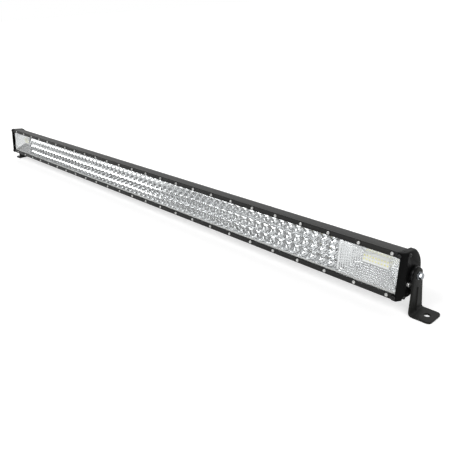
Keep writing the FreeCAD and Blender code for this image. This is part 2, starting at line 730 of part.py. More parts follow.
def make_pivot_bolt(label, side, seat):
    body = new_body(label)
    corner = "(bolt_head_flats / 2 / cos(30))"
    hexagon = [
        (f"{PIVOT_DEPTH} + {corner} * cos({60 * step})", f"{corner} * sin({60 * step})")
        for step in range(6)
    ]
    low, high = towards(side, seat, f"{seat} + bolt_head_height")
    prism(body, "YZ_Plane", low, high, [hexagon])
    low, high = towards(side, f"{CAP_OUTER} - bolt_bite", seat)
    prism(body, "YZ_Plane", low, high, circles=[(PIVOT_DEPTH, "0", "bolt_radius")])
    return place_on_bar(body)


def make_bracket(label, side):
    """Bent steel bracket: upright with a rounded top, foot turned outwards."""
    body = new_body(label)
    half = "foot_width / 2"
    under = "-pivot_height"
    foot_top = "plate_thickness - pivot_height"
    bend_top = "plate_thickness + bend_radius - pivot_height + 0.1"
    low, high = towards(side, UPRIGHT_INNER, UPRIGHT_OUTER)
    lean = "atan((foot_width / 2 - bracket_top_radius) / pivot_height)"
    shoulder = f"bracket_top_radius * cos({lean})"
    shoulder_height = f"bracket_top_radius * sin({lean})"
    upright = [
        (f"-{half}", under),
        (half, under),
        (half, bend_top),
        (shoulder, shoulder_height),
        (f"-{shoulder}", shoulder_height),
        (f"-{half}", bend_top),
    ]
    prism(body, "YZ_Plane", low, high, [upright], arcs={3: "bracket_top_radius"})
    inner = along(side, UPRIGHT_INNER)
    low, high = towards(side, UPRIGHT_INNER, f"{UPRIGHT_INNER} + foot_length")
    foot = rectangle(low, high, f"-{half}", half)
    prism(body, "XY_Plane", under, foot_top, [foot])
    inside = value(along(side, UPRIGHT_OUTER))
    outside = value(inner)
    foot_end = value(along(side, f"{UPRIGHT_INNER} + foot_length"))
    top = value(foot_top)
    bottom = value(under)

    def lies_at(edge, x, z):
        return all(abs(v.X - x) < 0.01 and abs(v.Z - z) < 0.01 for v in edge.Vertexes)

    def is_corner(edge):
        return all(abs(v.X - foot_end) < 0.01 for v in edge.Vertexes) and edge.BoundBox.ZLength > 1

    round_edges(body, "foot_corner", is_corner)
    round_edges(body, "bend_radius", lambda edge: lies_at(edge, inside, top))
    round_edges(body, "bend_radius + plate_thickness", lambda edge: lies_at(edge, outside, bottom))
    low, high = towards(side, UPRIGHT_INNER, UPRIGHT_OUTER)
    rib_low, rib_high = towards(side, UPRIGHT_OUTER, f"{UPRIGHT_OUTER} + rib_height")
    rib = rectangle("-rib_width / 2", "rib_width / 2", foot_top, "-rib_top")
    prism(body, "YZ_Plane", rib_low, rib_high, [rib])
    bolt = ("0", "0", "bolt_radius + bolt_play")
    prism(body, "YZ_Plane", low, high, circles=[bolt], cut=True)
    hole = (along(side, f"{UPRIGHT_INNER} + foot_length - foot_hole_inset"), "0", "foot_hole_radius")
    prism(body, "XY_Plane", under, foot_top, circles=[hole], cut=True)
    return place_on_foot(body)


# ---------------------------------------------------------------- assembly
pieces = [
    make_housing(),
    make_strip("top_trim_strip", 1),
    make_strip("bottom_trim_strip", -1),
    make_strip_screws("top_strip_screws", 1),
    make_strip_screws("bottom_strip_screws", -1),
    make_lens(),
    make_lens_gasket(),
    make_driver_board(),
    make_driver_parts(),
    make_board_plugs(),
    make_breather_vent(),
]
pieces += make_gland()

module_half = f"({MODULE_LENGTH} / 2 - module_gap / 2)"
for name, middle in (("left", f"-{MODULE_LENGTH}"), ("centre", "0"), ("right", MODULE_LENGTH)):
    pieces.append(make_spot_reflector(f"spot_reflector_{name}", middle))
    pieces.append(make_board(f"spot_board_{name}", middle, module_half))

columns = "(3 * columns_per_module)"
rows = [f"{row} * {CUP_ROW_PITCH}" for row in (-1, 0, 1)]
first_column = f"(-{CUP_PITCH} * ({columns} - 1) / 2)"
pieces.append(make_leds("spot_leds", first_column, rows, CUP_PITCH, columns))

for name, side in (("left", -1), ("right", 1)):
    flood_middle = along(side, f"({SPOT_HALF} + flood_length / 2 + module_gap / 4)")
    led_middle = along(side, f"({SPOT_HALF} + flood_led_place)")
    flood_first = f"({led_middle} - flood_led_pitch * (flood_led_count - 1) / 2)"
    flood_rows = ["flood_led_middle - flood_led_row", "flood_led_middle + flood_led_row"]
    board_half = "(flood_length / 2 - module_gap / 4)"
    pieces.append(make_flood_reflector(f"{name}_flood_reflector", side))
    pieces.append(make_board(f"{name}_flood_board", flood_middle, board_half))
    pieces.append(
        make_leds(f"{name}_flood_leds", flood_first, flood_rows, "flood_led_pitch", "flood_led_count")
    )
    pieces.append(make_end_gasket(f"{name}_end_gasket", side))
    pieces.append(make_end_cap(f"{name}_end_cap", side))
    pieces.append(make_end_bezel(f"{name}_end_bezel", side))
    pieces.append(make_bezel_screws(f"{name}_bezel_screws", side))
    pieces.append(make_cap_screws(f"{name}_cap_screws", side))
    washer_seat = f"({UPRIGHT_OUTER} + flat_washer_thickness)"
    bolt_seat = f"({UPRIGHT_OUTER} + flat_washer_thickness + spring_washer_thickness)"
    clearance = "bolt_radius + screw_play"
    pieces.append(
        ring(f"{name}_pivot_spacer", side, CAP_OUTER, UPRIGHT_INNER, "spacer_radius", clearance)
    )
    pieces.append(
        ring(f"{name}_flat_washer", side, UPRIGHT_OUTER, washer_seat, "flat_washer_radius", clearance)
    )
    pieces.append(
        ring(f"{name}_spring_washer", side, washer_seat, bolt_seat, "spring_washer_radius", clearance)
    )
    pieces.append(make_pivot_bolt(f"{name}_pivot_bolt", side, bolt_seat))
    pieces.append(make_bracket(f"{name}_bracket", side))

# ---------------------------------------------------------------- checks and export
doc.recompute()
for item in doc.Objects:
    if "Invalid" in item.State or "Error" in item.State:
        raise RuntimeError(f"{item.Label} failed: {item.State}")
for piece in pieces:
    if piece.Shape.isNull() or not piece.Shape.isValid() or not piece.Shape.Solids:
        raise RuntimeError(f"{piece.Label} has no valid solid")

os.makedirs("parts", exist_ok=True)
for piece in pieces:
    piece.Shape.exportStep(f"parts/{piece.Label}.step")
    box = piece.Shape.BoundBox
    print(f"{piece.Label:24s} {len(piece.Shape.Solids):4d} solids {piece.Shape.Volume:12.1f} mm3")
    print(f"    x {box.XMin:.1f}..{box.XMax:.1f}  y {box.YMin:.1f}..{box.YMax:.1f}")
    print(f"    z {box.ZMin:.1f}..{box.ZMax:.1f}")
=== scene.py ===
# %% [markdown]
# # A straight light bar for trucks and trailers
# The lamp is a long aluminium extrusion, closed by a cast cap at each end. Behind a clear front it
# holds rows of mirror-bright cups, and a wide tray at each end that spreads its light. Two bent
# brackets carry it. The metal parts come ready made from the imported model, in metres. This lesson
# adds what the eye needs: cups, trays, screws, softened edges, finishes, light and a camera.

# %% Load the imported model
import json
import math

import bmesh
import bpy
from mathutils import Matrix, Vector


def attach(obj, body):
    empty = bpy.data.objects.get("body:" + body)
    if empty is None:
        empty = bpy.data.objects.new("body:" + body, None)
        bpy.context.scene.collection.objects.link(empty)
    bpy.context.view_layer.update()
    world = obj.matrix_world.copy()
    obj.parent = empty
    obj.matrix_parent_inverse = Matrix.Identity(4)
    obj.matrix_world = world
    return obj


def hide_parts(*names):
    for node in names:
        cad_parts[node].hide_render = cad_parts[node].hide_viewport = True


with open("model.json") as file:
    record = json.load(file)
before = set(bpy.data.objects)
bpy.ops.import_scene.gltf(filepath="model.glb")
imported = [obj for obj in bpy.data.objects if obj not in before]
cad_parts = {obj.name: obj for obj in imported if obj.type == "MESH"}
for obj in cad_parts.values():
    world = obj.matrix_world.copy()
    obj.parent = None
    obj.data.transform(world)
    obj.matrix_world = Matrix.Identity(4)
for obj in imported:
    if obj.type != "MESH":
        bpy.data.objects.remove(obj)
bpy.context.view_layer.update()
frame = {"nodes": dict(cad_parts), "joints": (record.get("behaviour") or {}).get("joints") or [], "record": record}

nodes = frame["nodes"]

# %% [markdown]
# ## The bar's own frame
# The lamp is tipped nose up about its pivots, so its walls are not upright. Modelling on a slope is
# awkward. It is easier to model every piece of the lamp level, with depth 0 at the front of the trim
# strips and height 0 in the middle, and to tip the finished mesh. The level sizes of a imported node
# are read by turning its points back.

# %% Level frame and sizes
MM = 0.001
AIM = math.radians(8)
pivots = {joint["child"]: Vector(joint["pos_m"]) for joint in frame["joints"]}
pivot = pivots["right_bracket"]
tipped = Matrix.Translation((0, pivot.y, pivot.z)) @ Matrix.Rotation(-AIM, 4, "X")


def level_box(name, place):
    """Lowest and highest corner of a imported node, measured in the frame that place gives."""
    back = place.inverted()
    points = [back @ vertex.co for vertex in nodes[name].data.vertices]
    low = Vector([min(point[axis] for point in points) for axis in range(3)])
    high = Vector([max(point[axis] for point in points) for axis in range(3)])
    return low, high


strip_front = level_box("top_trim_strip", tipped)[0].y
ON_BAR = tipped @ Matrix.Translation((0, strip_front, 0))


def size_of(name):
    return level_box(name, ON_BAR)


print("pivot", tuple(pivot), "strip front at", round(strip_front / MM, 2), "mm from the pivot")

# %% [markdown]
# ## Helpers for modelling
# Each piece starts as a primitive and is shaped in edit mode, as by hand. Faces, edges and points are
# selected by where they are, so that the same steps work again when a size changes.

# %% Selecting and shaping
def start_piece():
    """Leave edit mode and deselect everything."""
    if bpy.context.object and bpy.context.object.mode == "EDIT":
        bpy.ops.object.mode_set(mode="OBJECT")
    bpy.ops.object.select_all(action="DESELECT")


def active(obj):
    start_piece()
    obj.select_set(True)
    bpy.context.view_layer.objects.active = obj


def pick(kind, wanted):
    """In edit mode, select only the faces, edges or points for which wanted() is true."""
    bpy.ops.mesh.select_all(action="DESELECT")
    bpy.ops.mesh.select_mode(type={"faces": "FACE", "edges": "EDGE", "verts": "VERT"}[kind])
    mesh = bmesh.from_edit_mesh(bpy.context.object.data)
    chosen = 0
    for item in getattr(mesh, kind):
        if wanted(item):
            item.select_set(True)
            chosen += 1
    bmesh.update_edit_mesh(bpy.context.object.data)
    return chosen


def middle(item):
    """Middle of an edge or a face."""
    return sum((vertex.co for vertex in item.verts), Vector()) / len(item.verts)


def extrude(offset):
    bpy.ops.mesh.extrude_region_move(TRANSFORM_OT_translate={"value": offset})


def stretch(factors, centre):
    bpy.ops.transform.resize(value=factors, center_override=centre)


def trim(point, normal):
    """Cut away all that lies beyond a plane."""
    bpy.ops.mesh.select_all(action="SELECT")
    bpy.ops.mesh.bisect(plane_co=point, plane_no=normal, clear_outer=True)


def apply_modifier(obj, kind, **settings):
    modifier = obj.modifiers.new(kind.title(), kind)
    for name, setting in settings.items():
        setattr(modifier, name, setting)
    active(obj)
    bpy.ops.object.modifier_apply(modifier=modifier.name)


def repeat(obj, step, count):
    apply_modifier(
        obj, "ARRAY", count=count, use_relative_offset=False,
        use_constant_offset=True, constant_offset_displace=step,
    )


def face_outwards(obj):
    active(obj)
    bpy.ops.object.mode_set(mode="EDIT")
    bpy.ops.mesh.select_all(action="SELECT")
    bpy.ops.mesh.remove_doubles(threshold=0.002 * MM)
    bpy.ops.mesh.normals_make_consistent(inside=False)
    bpy.ops.object.mode_set(mode="OBJECT")


def settle(obj, name, body, stands_for, place=ON_BAR):
    """Put a finished piece in place, apply that to its mesh and hang it on its body."""
    obj.name = name
    obj.data.name = name
    obj.matrix_world = place @ obj.matrix_world
    active(obj)
    bpy.ops.object.transform_apply(location=True, rotation=True, scale=True)
    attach(obj, body)
    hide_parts(*stands_for)
    print(name, len(obj.data.polygons), "faces")
    return obj


def joined(pieces):
    """One object from several."""
    start_piece()
    for piece in pieces:
        piece.select_set(True)
    bpy.context.view_layer.objects.active = pieces[0]
    bpy.ops.object.join()
    return pieces[0]


def copy_of(obj, place):
    """A copy with its own mesh, moved by place."""
    twin = bpy.data.objects.new(obj.name, obj.data.copy())
    bpy.context.scene.collection.objects.link(twin)
    twin.matrix_world = place @ obj.matrix_world
    return twin


# %% [markdown]
# ## Reflector cups
# The real reflector is one moulding per module, vacuum coated. Each light source sits in a bowl that
# is a paraboloid built of flat facets, and neighbouring bowls cut each other off along arched ridges.
# One bowl is extruded ring by ring from its opening, so that each ring lies on the paraboloid, and is
# then trimmed square by four planes. Two arrays make the module from it. Booleans would do the same
# more slowly and would leave slivers.

# %% One faceted cup
COLUMNS = 21
ROWS = 3
FACETS = 12
HOLE = 2.9 * MM
BOWL = 8.5 * MM                     # radius squared gained for each metre of depth
FLOOR_DEPTH = 22.4 * MM
module_low, module_high = size_of("spot_reflector_centre")
column_pitch = (module_high.x - module_low.x) / COLUMNS
row_pitch = (module_high.z - module_low.z) / ROWS
board_front = size_of("spot_board_centre")[0].y


def bowl_depth(radius):
    """Depth in front of the opening at which the paraboloid has this radius."""
    return (radius**2 - HOLE**2) / BOWL


def make_cup():
    start_piece()
    bpy.ops.mesh.primitive_circle_add(
        vertices=FACETS, radius=HOLE, location=(0, FLOOR_DEPTH, 0), rotation=(math.pi / 2, 0, 0)
    )
    cup = bpy.context.object
    bpy.ops.object.transform_apply(location=True, rotation=True, scale=True)
    bpy.ops.object.mode_set(mode="EDIT")
    bpy.ops.mesh.select_all(action="SELECT")
    rings = [HOLE + (12.6 * MM - HOLE) * share for share in (0.3, 0.63, 1.0)]
    radius = HOLE
    for ring in rings:
        extrude((0, bowl_depth(radius) - bowl_depth(ring), 0))
        stretch((ring / radius, 1, ring / radius), (0, 0, 0))
        radius = ring
    opening = pick("verts", lambda v: abs(v.co.y - FLOOR_DEPTH) < 0.01 * MM)
    extrude((0, board_front - FLOOR_DEPTH - 0.1 * MM, 0))
    for sign in (-1, 1):
        trim((sign * column_pitch / 2, 0, 0), (sign, 0, 0))
        trim((0, 0, sign * row_pitch / 2), (0, 0, sign))
    bpy.ops.object.mode_set(mode="OBJECT")
    print("cup:", opening, "points round the opening,", len(cup.data.polygons), "faces")
    return cup


cup = make_cup()

# %% [markdown]
# ## Modules
# The three modules are alike, so one is made and copied. Its long edges rise to the front as flat
# walls, which is where the bowls leave their dome-shaped outlines. The wall gets its thickness last.

# %% Three modules of 63 cups
def face_the_front(obj):
    """Turn an open shell's normals towards the lens."""
    active(obj)
    bpy.ops.object.mode_set(mode="EDIT")
    bpy.ops.mesh.select_all(action="SELECT")
    bpy.ops.mesh.normals_make_consistent(inside=False)
    facing = sum(face.normal.y * face.calc_area() for face in bmesh.from_edit_mesh(obj.data).faces)
    if facing > 0:
        bpy.ops.mesh.flip_normals()
    bpy.ops.object.mode_set(mode="OBJECT")


def make_module():
    module = copy_of(cup, Matrix.Translation((-(COLUMNS - 1) / 2 * column_pitch, 0, -row_pitch)))
    active(module)
    bpy.ops.object.transform_apply(location=True, rotation=True, scale=True)
    repeat(module, (column_pitch, 0, 0), COLUMNS)
    repeat(module, (0, 0, row_pitch), ROWS)
    active(module)
    bpy.ops.object.mode_set(mode="EDIT")
    bpy.ops.mesh.select_all(action="SELECT")
    bpy.ops.mesh.remove_doubles(threshold=0.02 * MM)
    edge_height = module_high.z - 0.05 * MM
    rims = pick("edges", lambda e: e.is_boundary and abs(middle(e).z) > edge_height)
    extrude((0, 0, 0))
    stretch((1, 0, 1), (0, module_low.y, 0))
    bpy.ops.object.mode_set(mode="OBJECT")
    face_the_front(module)
    apply_modifier(module, "SOLIDIFY", thickness=0.5 * MM, offset=-1)
    print("module:", rims, "rim edges,", len(module.data.polygons), "faces")
    return module


module = make_module()
reflectors = []
for side in ("left", "centre", "right"):
    low, high = size_of(f"spot_reflector_{side}")
    shift = Matrix.Translation(((low.x + high.x) / 2, 0, 0))
    reflectors.append(
        settle(copy_of(module, shift), f"cups_{side}", "light_bar",
               [f"spot_reflector_{side}"])
    )
bpy.data.objects.remove(module)
bpy.data.objects.remove(cup)

# %% [markdown]
# ## Flood trays
# At each end a wide tray throws its light sideways. Its wall next to the cups carries a grid of small
# facets, its lower wall is stepped, and the other two are plain. The tray is modelled for the right
# end: the window over the light sources is a plane, its edges are extruded and stretched to the
# mouth, and each wall is then cut into its steps or facets.

# %% Tray walls
tray_low, tray_high = size_of("right_flood_reflector")
leds_low, leds_high = size_of("right_flood_leds")
MARGIN = Vector((0.6, 0, 3.2)) * MM       # board left showing round the light sources
RIM = Vector((2.4, 0, 0.3)) * MM          # flat end face next to the cups
window_low = leds_low - MARGIN
window_high = leds_high + MARGIN
mouth_low = tray_low + RIM
mouth_high = tray_high - Vector((0, 0, RIM.z))
tray_floor = board_front - 0.3 * MM
tray_depth = tray_floor - tray_low.y
STEPS = 8
GRID_ROWS = 11
GRID_COLUMNS = 10


def make_tray():
    start_piece()
    middle_x = (window_low.x + window_high.x) / 2
    middle_z = (window_low.z + window_high.z) / 2
    bpy.ops.mesh.primitive_plane_add(
        size=1, location=(middle_x, tray_floor, middle_z), rotation=(math.pi / 2, 0, 0)
    )
    tray = bpy.context.object
    tray.scale = (window_high.x - window_low.x, window_high.z - window_low.z, 1)
    bpy.ops.object.transform_apply(location=True, rotation=True, scale=True)
    bpy.ops.object.mode_set(mode="EDIT")
    pick("faces", lambda f: True)
    bpy.ops.mesh.delete(type="ONLY_FACE")
    pick("edges", lambda e: True)
    extrude((0, -tray_depth, 0))
    wider = (mouth_high.x - mouth_low.x) / (window_high.x - window_low.x)
    higher = (mouth_high.z - mouth_low.z) / (window_high.z - window_low.z)
    stretch((wider, 1, higher), (middle_x, tray_low.y, middle_z))
    shift_x = (mouth_low.x + mouth_high.x) / 2 - middle_x
    shift_z = (mouth_low.z + mouth_high.z) / 2 - middle_z
    bpy.ops.transform.translate(value=(shift_x, 0, shift_z))
    return tray


def wall(direction, sign):
    """Test for the faces of the tray wall on one side."""
    centre = (mouth_low + mouth_high) / 2

    def belongs(face):
        normal = face.normal
        across = abs(normal.x) > abs(normal.z)
        place = middle(face) - centre
        if direction == "x":
            return across and place.x * sign > 0
        return not across and place.z * sign > 0

    return belongs


def cut_wall(direction, sign, axis, places):
    """Cut a wall by planes square to an axis."""
    normal = [1.0 if index == axis else 0.0 for index in range(3)]
    for place in places:
        pick("faces", wall(direction, sign))
        point = [place if index == axis else 0.0 for index in range(3)]
        bpy.ops.mesh.bisect(plane_co=point, plane_no=normal)


def depths(count):
    return [tray_low.y + tray_depth * step / count for step in range(1, count)]


# %% Steps, facets and ribs of the tray
def add_steps():
    """Saw-tooth steps: every other cut of the lower wall is pushed down."""
    places = depths(2 * STEPS)
    cut_wall("z", -1, 1, places)
    for place in places[::2]:
        pick("edges", lambda e: abs(e.verts[0].co.y - place) < 0.02 * MM
             and abs(e.verts[1].co.y - place) < 0.02 * MM and middle(e).z < window_low.z)
        bpy.ops.transform.translate(value=(0, 0.75 * MM, -1.0 * MM))


def add_facets():
    """Grid of shallow pyramids on the wall next to the cups."""
    height = mouth_high.z - mouth_low.z
    rows = [mouth_low.z + height * step / GRID_ROWS for step in range(1, GRID_ROWS)]
    cut_wall("x", -1, 1, depths(GRID_COLUMNS))
    cut_wall("x", -1, 2, rows)
    pick("faces", wall("x", -1))
    bpy.ops.mesh.inset(use_individual=True, thickness=0.25 * MM, depth=0.0)
    bpy.ops.mesh.poke(offset=0.5 * MM)


def add_ribs():
    """Shallow upright ribs on the outer wall."""
    height = mouth_high.z - mouth_low.z
    rows = [mouth_low.z + height * step / 3 for step in range(1, 3)]
    cut_wall("x", 1, 1, depths(12))
    cut_wall("x", 1, 2, rows)
    for place in depths(12)[::2]:
        pick("verts", lambda v: abs(v.co.y - place) < 0.02 * MM and v.co.x > window_high.x
             and mouth_low.z + 2 * MM < v.co.z < mouth_high.z - 2 * MM)
        bpy.ops.transform.translate(value=(0.25 * MM, 0, 0))


def add_end_face():
    """Narrow flat face in front, between the facets and the cups."""
    pick("edges", lambda e: e.is_boundary and middle(e).x < mouth_low.x + 0.01 * MM)
    extrude((-RIM.x + 0.2 * MM, 0, 0))
    extrude((0, 5 * MM, 0))


tray = make_tray()
add_steps()
add_facets()
add_ribs()
add_end_face()
bpy.ops.object.mode_set(mode="OBJECT")
face_the_front(tray)
apply_modifier(tray, "SOLIDIFY", thickness=0.5 * MM, offset=-1)
mirrored = copy_of(tray, Matrix.Scale(-1, 4, (1, 0, 0)))
settle(tray, "tray_right", "light_bar", ["right_flood_reflector"])
settle(mirrored, "tray_left", "light_bar", ["left_flood_reflector"])
face_outwards(mirrored)
reflectors += [tray, mirrored]

# %% [markdown]
# ## Light sources
# Each source is a white ceramic square with a yellow phosphor pad sunk into it. The pad is an inset of
# the top face, pushed in a little and given its own material slot, so both finishes sit on one mesh.

# %% One light source, copied to every place
def make_chip(size, height, front):
    start_piece()
    bpy.ops.mesh.primitive_cube_add(size=1, location=(0, front + height / 2, 0))
    chip = bpy.context.object
    chip.scale = (size, height, size)
    bpy.ops.object.transform_apply(location=True, rotation=True, scale=True)
    bpy.ops.object.mode_set(mode="EDIT")
    pick("faces", lambda f: f.normal.y < -0.5)
    bpy.ops.mesh.inset(thickness=0.16 * size, depth=0.0)
    extrude((0, 0.12 * MM, 0))
    bpy.ops.object.mode_set(mode="OBJECT")
    return chip


def spread(chip, name, low, high, columns, rows):
    """Repeat a chip evenly between a node's two corners."""
    size = chip.dimensions.x
    step_x = (high.x - low.x - size) / (columns - 1)
    step_z = (high.z - low.z - size) / (rows - 1)
    corner = Matrix.Translation((low.x + size / 2, 0, low.z + size / 2))
    field = copy_of(chip, corner)
    active(field)
    bpy.ops.object.transform_apply(location=True, rotation=True, scale=True)
    repeat(field, (step_x, 0, 0), columns)
    repeat(field, (0, 0, step_z), rows)
    return settle(field, f"{name}_detail", "light_bar", [name])


FLOOD_COLUMNS = 9
chip = make_chip(leds_high.z - leds_low.z - 2 * 2.7 * MM, leds_high.y - leds_low.y, leds_low.y)
led_fields = [spread(chip, "spot_leds", *size_of("spot_leds"), 3 * COLUMNS, ROWS)]
for side in ("left", "right"):
    name = f"{side}_flood_leds"
    led_fields.append(spread(chip, name, *size_of(name), FLOOD_COLUMNS, 2))
bpy.data.objects.remove(chip)

# %% [markdown]
# ## Small screws
# The front and the caps are held by button head screws with a hexagon socket. One head is a short
# cylinder whose outer edge is bevelled into a dome. The socket is an inset of the top: the points of
# the inset that are not corners of the hexagon are drawn in to the middle of its sides, and the face
# is pushed in. The shanks are inside the metal, so the heads alone are modelled.

# %% One screw, then rows of it
def make_screw(radius, height):
    """Button head that stands on depth 0 and faces the front."""
    start_piece()
    bpy.ops.mesh.primitive_cylinder_add(
        vertices=12, radius=radius, depth=height, location=(0, -height / 2, 0),
        rotation=(math.pi / 2, 0, 0),
    )
    screw = bpy.context.object
    bpy.ops.object.transform_apply(location=True, rotation=True, scale=True)
    bpy.ops.object.mode_set(mode="EDIT")
    pick("edges", lambda e: middle(e).y < -height + 0.01 * MM and len(e.link_faces) == 2)
    bpy.ops.mesh.bevel(offset=0.34 * radius, segments=3, profile=0.5)
    pick("faces", lambda f: f.normal.y < -0.99)
    bpy.ops.mesh.inset(thickness=0.13 * radius, depth=0.0)
    socket = [v for v in bmesh.from_edit_mesh(screw.data).verts if v.select]
    chosen = {v.index for v in socket if round(math.degrees(math.atan2(v.co.z, v.co.x)) / 30) % 2}
    across = math.cos(math.radians(30))
    pick("verts", lambda v: v.index in chosen)
    stretch((across, 1, across), (0, 0, 0))
    inner = 0.56 * radius
    pick("faces", lambda f: f.normal.y < -0.99 and f.calc_area() > inner**2)
    extrude((0, 0.55 * height, 0))
    bpy.ops.object.mode_set(mode="OBJECT")
    bpy.ops.object.shade_smooth_by_angle(angle=math.radians(40))
    print("screw head:", len(screw.data.polygons), "faces")
    return screw


HEAD = 2.6 * MM
HEAD_HEIGHT = 1.8 * MM
SCREWS = 25
screw = make_screw(HEAD, HEAD_HEIGHT)
steel_pieces = []
dark_screws = []
for edge in ("top", "bottom"):
    name = f"{edge}_strip_screws"
    low, high = size_of(name)
    row = copy_of(screw, Matrix.Translation((low.x + HEAD, 0, (low.z + high.z) / 2)))
    active(row)
    bpy.ops.object.transform_apply(location=True, rotation=True, scale=True)
    repeat(row, ((high.x - low.x - 2 * HEAD) / (SCREWS - 1), 0, 0), SCREWS)
    steel_pieces.append(settle(row, f"{name}_detail", "light_bar", [name]))

# %% Screws of the end pieces
def head_places(name, axis, level):
    """Middles of the screw heads of a node: points that lie on the head's outer plane, by group."""
    groups = []
    back = ON_BAR.inverted()
    for vertex in nodes[name].data.vertices:
        point = back @ vertex.co
        if abs(point[axis] - level) > 0.05 * MM:
            continue
        group = next((g for g in groups if (g[0] - point).length < 2.2 * HEAD), None)
        if group:
            group.append(point)
        else:
            groups.append([point])
    middles = []
    for group in groups:
        low = [min(point[i] for point in group) for i in range(3)]
        high = [max(point[i] for point in group) for i in range(3)]
        middles.append(Vector([(a + b) / 2 for a, b in zip(low, high)]))
    return middles


for side, sign in (("left", -1), ("right", 1)):
    name = f"{side}_bezel_screws"
    front = size_of(name)[0].y
    heads = [
        copy_of(screw, Matrix.Translation(place + Vector((0, HEAD_HEIGHT, 0))))
        for place in head_places(name, 1, front)
    ]
    print(name, len(heads), "heads")
    dark_screws.append(
        settle(joined(heads), f"{name}_detail", "light_bar", [name])
    )
    name = f"{side}_cap_screws"
    outer = size_of(name)[1].x if sign > 0 else size_of(name)[0].x
    sideways = Matrix.Rotation(sign * math.pi / 2, 4, "Z")
    heads = [
        copy_of(screw, Matrix.Translation(place - Vector((sign * HEAD_HEIGHT, 0, 0))) @ sideways)
        for place in head_places(name, 0, outer)
    ]
    print(name, len(heads), "heads")
    dark_screws.append(
        settle(joined(heads), f"{name}_detail", "light_bar", [name])
    )
bpy.data.objects.remove(screw)

# %% [markdown]
# ## Softened edges
# No real edge is perfectly sharp: an extrusion, a casting and a pressed bracket all catch a thin line
# of light along their corners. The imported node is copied, its triangles are merged back into flat
# faces, and a bevel modifier rounds what is left. The shape and size stay as they were.

# %% Copies of the metal parts with rounded edges
def softened(name, width, body="light_bar", segments=2, angle=35):
    copy = bpy.data.objects.new(f"{name}_soft", nodes[name].data.copy())
    bpy.context.scene.collection.objects.link(copy)
    active(copy)
    bpy.ops.object.mode_set(mode="EDIT")
    bpy.ops.mesh.select_all(action="SELECT")
    bpy.ops.mesh.remove_doubles(threshold=0.001 * MM)
    bpy.ops.mesh.dissolve_limited(angle_limit=math.radians(0.5))
    bpy.ops.object.mode_set(mode="OBJECT")
    apply_modifier(
        copy, "BEVEL", width=width, segments=segments, limit_method="ANGLE",
        angle_limit=math.radians(angle), use_clamp_overlap=False,
    )
    bpy.ops.object.shade_smooth_by_angle(angle=math.radians(28))
    slot = nodes[name].material_slots[0].material.name if nodes[name].material_slots else "?"
    print(name, "in", slot, "to", len(copy.data.polygons), "faces")
    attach(copy, body)
    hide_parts(name)
    return copy


soft = {
    "housing": softened("housing", 0.25 * MM),
    "top_trim_strip": softened("top_trim_strip", 0.3 * MM),
    "bottom_trim_strip": softened("bottom_trim_strip", 0.3 * MM),
}
for side in ("left", "right"):
    soft[f"{side}_end_cap"] = softened(f"{side}_end_cap", 0.5 * MM)
    soft[f"{side}_end_bezel"] = softened(f"{side}_end_bezel", 0.6 * MM)
    soft[f"{side}_pivot_spacer"] = softened(f"{side}_pivot_spacer", 0.6 * MM)
    soft[f"{side}_bracket"] = softened(f"{side}_bracket", 0.35 * MM, f"{side}_bracket")
    soft[f"{side}_flat_washer"] = softened(f"{side}_flat_washer", 0.25 * MM)

# %% [markdown]
# ## Pivot hardware
# The bolt is a hexagon head with chamfered corners. Its washer is split so that it springs: a square
# section is spun almost once round and then pulled apart a little at its ends. The gland behind the
# bar and the breather in the right cap are turned plastic parts.

# %% Bolt head and spring washer
def make_bolt_head(flats, height):
    """Hexagon head along the bar, from 0 to its height."""
    start_piece()
    radius = flats / 2 / math.cos(math.radians(30))
    bpy.ops.mesh.primitive_cylinder_add(
        vertices=6, radius=radius, depth=height, location=(height / 2, 0, 0),
        rotation=(0, math.pi / 2, 0),
    )
    head = bpy.context.object
    bpy.ops.object.transform_apply(location=True, rotation=True, scale=True)
    bpy.ops.object.mode_set(mode="EDIT")
    pick("faces", lambda f: f.normal.x > 0.99)
    bpy.ops.mesh.inset(thickness=0.12 * flats, depth=0.0)
    bpy.ops.transform.translate(value=(0.6 * MM, 0, 0))
    pick("edges", lambda e: middle(e).x > height - 0.01 * MM and len(e.link_faces) == 2)
    bpy.ops.mesh.bevel(offset=0.5 * MM, segments=2)
    bpy.ops.object.mode_set(mode="OBJECT")
    head.scale.x = height / head.dimensions.x
    bpy.ops.object.transform_apply(location=True, rotation=True, scale=True)
    bpy.ops.object.shade_smooth_by_angle(angle=math.radians(30))
    return head


def make_spring_washer(inner, outer, thickness):
    """Split ring round the bar's direction, from 0 to its thickness."""
    start_piece()
    gap = math.radians(12)
    section = 0.84 * thickness
    bpy.ops.mesh.primitive_plane_add(
        size=1, location=(section / 2, (inner + outer) / 2, 0), rotation=(0, 0, 0)
    )
    washer = bpy.context.object
    washer.scale = (section, outer - inner, 1)
    bpy.ops.object.transform_apply(location=True, rotation=True, scale=True)
    bpy.ops.object.mode_set(mode="EDIT")
    bpy.ops.mesh.select_all(action="SELECT")
    bpy.ops.mesh.spin(steps=48, angle=2 * math.pi - gap, center=(0, 0, 0), axis=(1, 0, 0))
    bpy.ops.mesh.select_all(action="SELECT")
    bpy.ops.mesh.normals_make_consistent(inside=False)
    bpy.ops.object.mode_set(mode="OBJECT")
    for vertex in washer.data.vertices:
        turn = math.atan2(vertex.co.z, vertex.co.y) % (2 * math.pi)
        vertex.co.x += (thickness - section) * turn / (2 * math.pi)
    apply_modifier(washer, "BEVEL", width=0.15 * MM, segments=1, limit_method="ANGLE")
    bpy.ops.object.shade_smooth_by_angle(angle=math.radians(30))
    return washer


